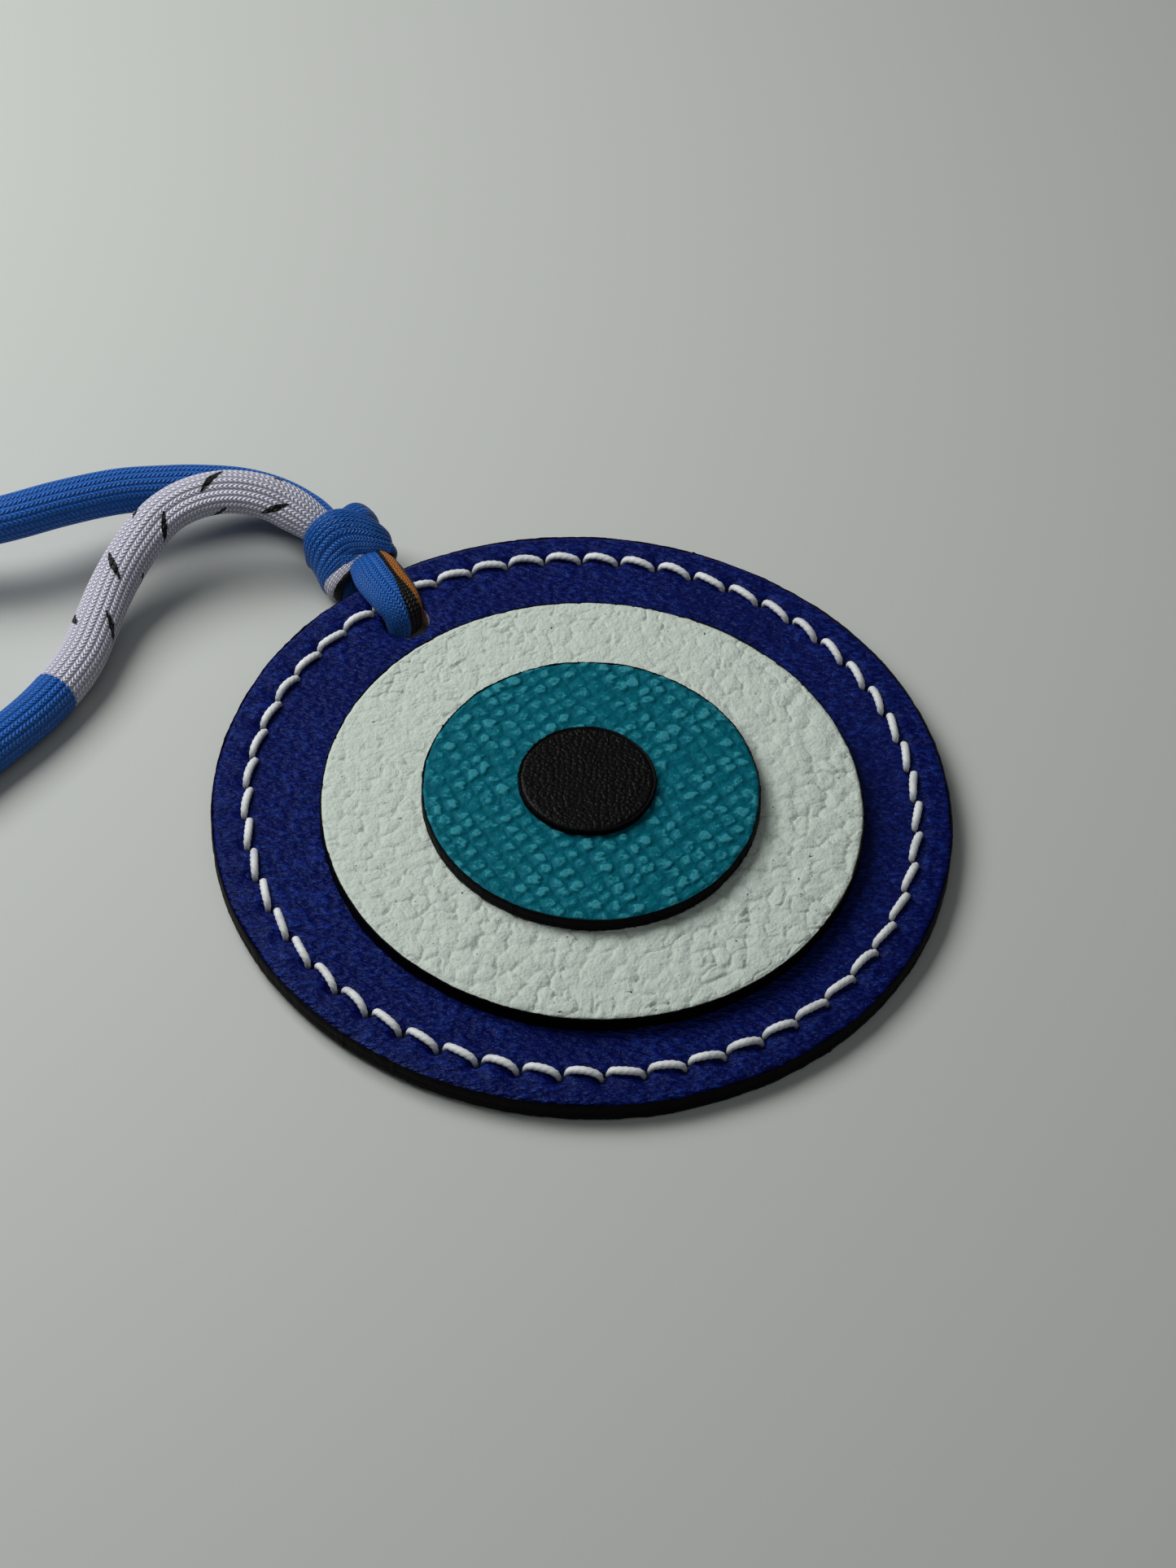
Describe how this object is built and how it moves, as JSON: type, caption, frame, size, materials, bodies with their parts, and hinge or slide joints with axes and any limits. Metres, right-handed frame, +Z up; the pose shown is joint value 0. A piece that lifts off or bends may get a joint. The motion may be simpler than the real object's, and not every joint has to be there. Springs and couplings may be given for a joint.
{
  "type": "evil eye charm",
  "caption": "Round evil eye charm of stacked leather discs with a stitched rim, hung on a knotted loop of tubular cord.",
  "frame": {"origin": "on the table, under the centre of the round leather base as it lies on its back with the cord under one side of its rim", "axes": "+Z up, towards the face of the eye; +X to the right and +Y to the back as the charm lies; the cord leaves the rim at 130 degrees anticlockwise from +X"},
  "size_m": [0.1451, 0.0817, 0.0118],
  "materials": {
    "navy_leather": "smooth calf, fine grain, satin",
    "white_leather": "pebbled grain, matt",
    "teal_leather": "cross-hatched embossed grain, satin",
    "black_leather": "fine pebbled grain, satin",
    "edge_paint": "black edge paint, satin",
    "thread": "waxed white thread",
    "cord": "tubular knitted cord, blue and white print with black strokes, satin"
  },
  "bodies": {
    "charm": {"backing_disc": "navy_leather", "front_disc": "navy_leather", "rim_edge_paint": "edge_paint", "white_disc": "white_leather", "white_edge_paint": "edge_paint", "iris_disc": "teal_leather", "iris_edge_paint": "edge_paint", "pupil_disc": "black_leather", "pupil_edge_paint": "edge_paint", "front_stitches": "thread", "back_stitches": "thread", "cord_bight": "cord"},
    "cord": {"cord_knot": "cord", "cord_loop": "cord"}
  },
  "joints": [
    {"name": "cord_swing", "type": "hinge", "parent": "charm", "child": "cord", "pos_m": [-0.0227, 0.0271, 0.0028], "axis": [0.766, 0.6428, 0], "range_deg": [-75, 75], "deforming": ["cord_bight"]}
  ]
}
